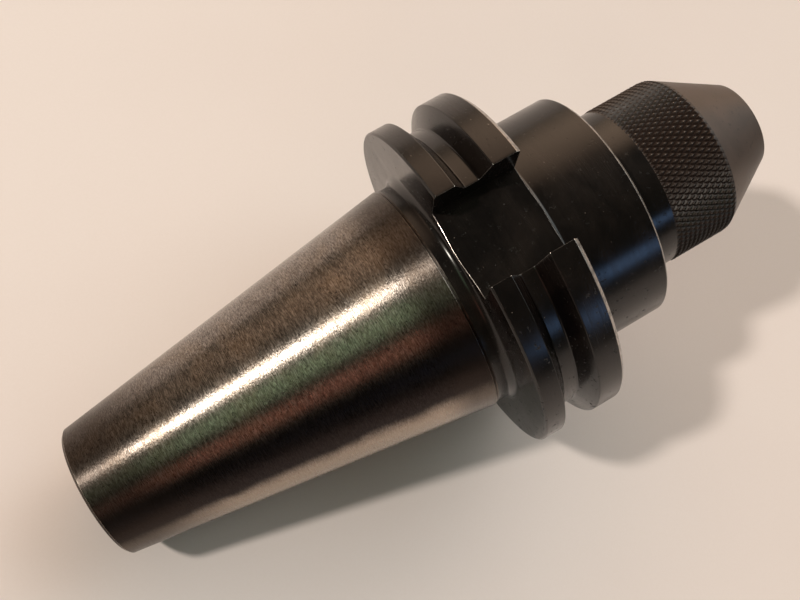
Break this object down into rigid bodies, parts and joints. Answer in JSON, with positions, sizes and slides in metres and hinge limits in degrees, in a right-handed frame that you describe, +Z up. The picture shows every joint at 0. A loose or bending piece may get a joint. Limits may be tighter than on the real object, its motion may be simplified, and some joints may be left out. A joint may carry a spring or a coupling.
{
  "type": "endmill holder",
  "caption": "Black steel side-lock endmill holder: a steep taper shank, a grooved flange with drive slots, a knurled nose, and a set screw that clamps the cutter.",
  "frame": {"origin": "centre of the taper's gage circle, on the tool's axis", "axes": "+Z up from the table that the holder lies on; +X is the axis's direction towards the nose as seen from above; the axis itself rises towards the nose by about 14.4 degrees; +Y is across, square to the drive slots"},
  "size_m": [0.1356, 0.0634, 0.063],
  "materials": {
    "ground_steel": "dark ground steel with fine lines round the taper",
    "black_steel": "black oxide over turned steel",
    "screw_steel": "black oxide alloy steel"
  },
  "bodies": {
    "holder": {"taper_shank": "ground_steel", "flange_and_nose": "black_steel"},
    "side_lock": {"side_lock_screw": "screw_steel"}
  },
  "joints": [
    {"name": "side_lock_travel", "type": "slide", "parent": "holder", "child": "side_lock", "axis": [-0.2492, 0, 0.9684], "range_m": [-0.003, 0.0012]}
  ]
}
